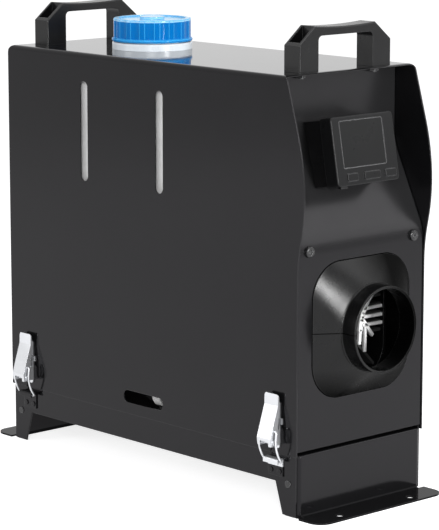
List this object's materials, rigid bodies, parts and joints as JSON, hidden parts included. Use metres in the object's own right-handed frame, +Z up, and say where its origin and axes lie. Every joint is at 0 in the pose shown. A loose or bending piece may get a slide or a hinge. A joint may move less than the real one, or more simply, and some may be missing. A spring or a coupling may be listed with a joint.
{
  "type": "diesel air heater",
  "caption": "Upright dark steel box heater with a round warm-air nozzle, blue filler cap, two carry handles, side toggle latches and a tilted control panel.",
  "frame": {"origin": "on the floor, below the middle of the box", "axes": "+Z up, +X towards the warm air outlet, the latched long sides face +Y and -Y"},
  "size_m": [0.432, 0.1764, 0.401],
  "materials": {
    "case_steel": "satin",
    "screw_steel": "satin",
    "plain_steel": "satin",
    "zinc_plate": "satin",
    "black_plastic": "matte",
    "controller_plastic": "satin",
    "screen": "gloss",
    "circuit_board": "matte",
    "tank_plastic": "satin",
    "cap_plastic": "gloss",
    "rubber": "matte",
    "cast_aluminium": "satin"
  },
  "bodies": {
    "case": {"cover_shell": "case_steel", "front_panel": "case_steel", "rear_panel": "case_steel", "base_tray": "case_steel", "front_foot_plate": "case_steel", "rear_foot_plate": "case_steel", "tank_shelf": "case_steel", "heater_stand": "plain_steel", "base_rivets": "screw_steel", "case_screws": "screw_steel", "rear_handle": "black_plastic", "front_handle": "black_plastic", "controller_housing": "controller_plastic", "controller_holder": "black_plastic", "controller_lens": "screen", "controller_board": "circuit_board", "outlet_adaptor": "black_plastic", "inlet_grille": "black_plastic", "heater_lower_case": "black_plastic", "heater_upper_case": "black_plastic", "control_unit": "black_plastic", "fuel_tank": "tank_plastic", "neck_ring": "tank_plastic", "fuel_filter": "tank_plastic", "tank_pads": "rubber", "cable_grommet": "rubber", "heater_gasket": "rubber", "pump_mount": "rubber", "fuel_hoses": "rubber", "heat_exchanger": "cast_aluminium", "blower_housing": "cast_aluminium", "burner_tube": "plain_steel", "glow_plug": "plain_steel", "overheat_sensor": "plain_steel", "fuel_inlet": "plain_steel", "blower_motor": "plain_steel", "stand_bolts": "plain_steel", "exhaust_pipe": "plain_steel", "intake_pipe": "plain_steel", "fuel_pump": "plain_steel", "latch_brackets": "zinc_plate", "latch_keepers": "zinc_plate", "latch_rivets": "zinc_plate"},
    "seal": {"cap_seal": "rubber"},
    "cap": {"filler_cap": "cap_plastic"},
    "rotor": {"blower_shaft": "plain_steel", "fan_wheel": "black_plastic", "combustion_impeller": "black_plastic"},
    "plunger": {"pump_plunger": "plain_steel"},
    "left_key": {"left_button": "controller_plastic"},
    "middle_key": {"middle_button": "controller_plastic"},
    "right_key": {"right_button": "controller_plastic"},
    "rear_right_lever": {"rear_right_latch_lever": "zinc_plate"},
    "rear_right_bail": {"rear_right_latch_bail": "zinc_plate"},
    "rear_left_lever": {"rear_left_latch_lever": "zinc_plate"},
    "rear_left_bail": {"rear_left_latch_bail": "zinc_plate"},
    "front_right_lever": {"front_right_latch_lever": "zinc_plate"},
    "front_right_bail": {"front_right_latch_bail": "zinc_plate"},
    "front_left_lever": {"front_left_latch_lever": "zinc_plate"},
    "front_left_bail": {"front_left_latch_bail": "zinc_plate"}
  },
  "joints": [
    {"name": "cap_lift", "type": "slide", "parent": "case", "child": "seal", "axis": [0, 0, 1], "range_m": [0, 0.018]},
    {"name": "cap_turn", "type": "hinge", "parent": "seal", "child": "cap", "pos_m": [-0.0755, 0, 0.3862], "axis": [0, 0, 1], "range_deg": [0, 1080]},
    {"name": "rear_right_lever_swing", "type": "hinge", "parent": "case", "child": "rear_right_lever", "pos_m": [-0.1625, -0.0835, 0.063], "axis": [1, 0, 0], "range_deg": [0, 90]},
    {"name": "rear_right_bail_swing", "type": "hinge", "parent": "rear_right_lever", "child": "rear_right_bail", "pos_m": [-0.1625, -0.083, 0.0725], "axis": [1, 0, 0], "range_deg": [-63, 0]},
    {"name": "rear_left_lever_swing", "type": "hinge", "parent": "case", "child": "rear_left_lever", "pos_m": [-0.1625, 0.0835, 0.063], "axis": [-1, 0, 0], "range_deg": [0, 90]},
    {"name": "rear_left_bail_swing", "type": "hinge", "parent": "rear_left_lever", "child": "rear_left_bail", "pos_m": [-0.1625, 0.083, 0.0725], "axis": [-1, 0, 0], "range_deg": [-63, 0]},
    {"name": "front_right_lever_swing", "type": "hinge", "parent": "case", "child": "front_right_lever", "pos_m": [0.1625, -0.0835, 0.063], "axis": [1, 0, 0], "range_deg": [0, 90]},
    {"name": "front_right_bail_swing", "type": "hinge", "parent": "front_right_lever", "child": "front_right_bail", "pos_m": [0.1625, -0.083, 0.0725], "axis": [1, 0, 0], "range_deg": [-63, 0]},
    {"name": "front_left_lever_swing", "type": "hinge", "parent": "case", "child": "front_left_lever", "pos_m": [0.1625, 0.0835, 0.063], "axis": [-1, 0, 0], "range_deg": [0, 90]},
    {"name": "front_left_bail_swing", "type": "hinge", "parent": "front_left_lever", "child": "front_left_bail", "pos_m": [0.1625, 0.083, 0.0725], "axis": [-1, 0, 0], "range_deg": [-63, 0]},
    {"name": "left_press", "type": "slide", "parent": "case", "child": "left_key", "axis": [-0.9837, 0, -0.1797], "range_m": [0, 0.0008], "stiffness_N_per_m": 400, "springref_m": -0.0004},
    {"name": "middle_press", "type": "slide", "parent": "case", "child": "middle_key", "axis": [-0.9837, 0, -0.1797], "range_m": [0, 0.0008], "stiffness_N_per_m": 400, "springref_m": -0.0004},
    {"name": "right_press", "type": "slide", "parent": "case", "child": "right_key", "axis": [-0.9837, 0, -0.1797], "range_m": [0, 0.0008], "stiffness_N_per_m": 400, "springref_m": -0.0004},
    {"name": "blower_spin", "type": "hinge", "parent": "case", "child": "rotor", "pos_m": [-0.12, 0, 0.153], "axis": [1, 0, 0], "continuous": true},
    {"name": "plunger_stroke", "type": "slide", "parent": "case", "child": "plunger", "axis": [-1, 0, 0], "range_m": [0, 0.002], "stiffness_N_per_m": 600, "springref_m": -0.0005}
  ],
  "couplings": [
    {"joint": "cap_turn", "follows": "cap_lift", "rad_per_m": 1047.2},
    {"joint": "rear_right_bail_swing", "follows": "rear_right_lever_swing", "ratio": -0.7},
    {"joint": "rear_left_bail_swing", "follows": "rear_left_lever_swing", "ratio": -0.7},
    {"joint": "front_right_bail_swing", "follows": "front_right_lever_swing", "ratio": -0.7},
    {"joint": "front_left_bail_swing", "follows": "front_left_lever_swing", "ratio": -0.7}
  ]
}
